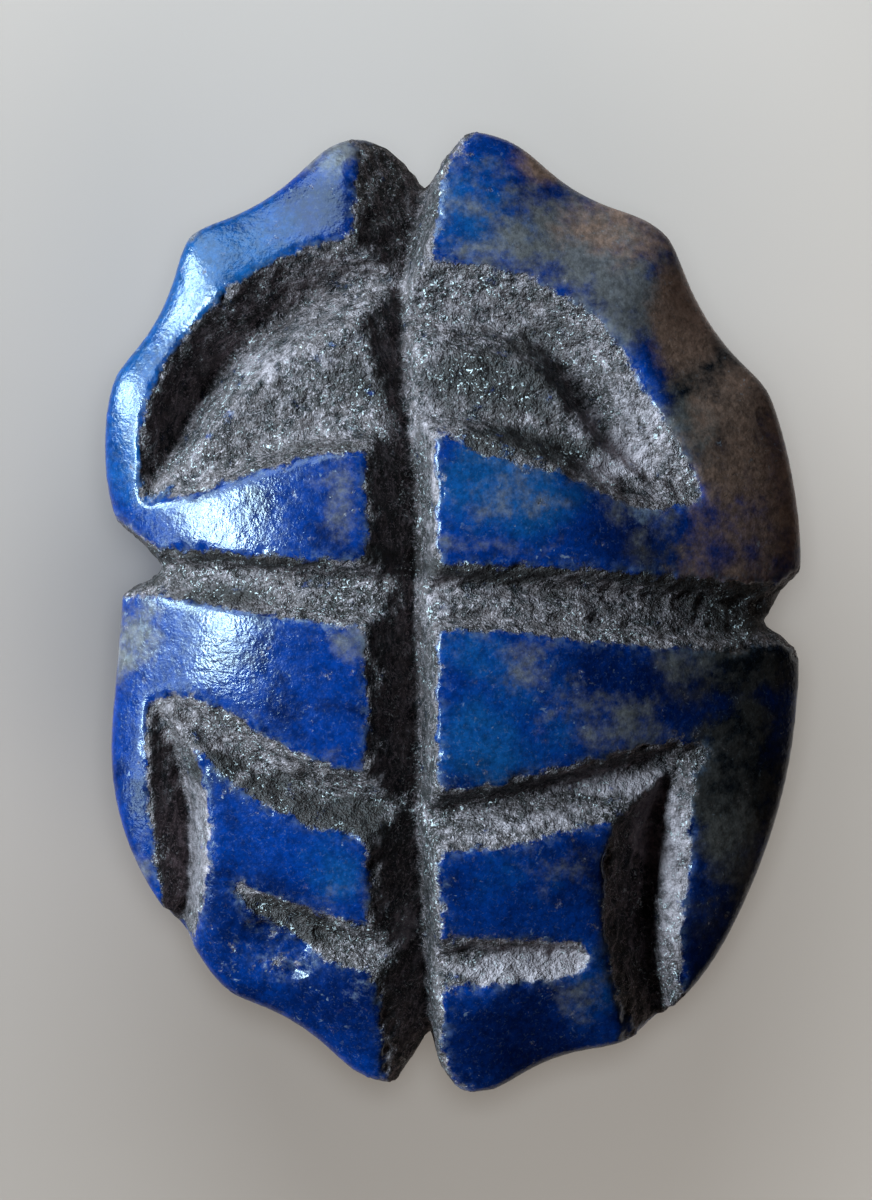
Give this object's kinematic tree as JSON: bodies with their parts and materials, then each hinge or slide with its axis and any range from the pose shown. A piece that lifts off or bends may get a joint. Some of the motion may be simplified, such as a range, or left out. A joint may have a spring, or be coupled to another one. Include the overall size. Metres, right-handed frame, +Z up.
{
  "type": "scarab amulet",
  "caption": "Small carved stone beetle amulet, lying on its rounded back with the grooved leg side up, filed edge and end notches.",
  "frame": {"origin": "on the surface that the amulet lies on, under the middle of its length and width", "axes": "+Y towards the beetle's head, along the length; +Z up, out of the leg face; +X to the right when looking down on the leg face"},
  "size_m": [0.013, 0.018, 0.007],
  "materials": {
    "lapis": "worn polish on the faces, rough grey-brown ground in the grooves"
  },
  "bodies": {
    "root": {"scarab": "lapis"}
  },
  "joints": []
}
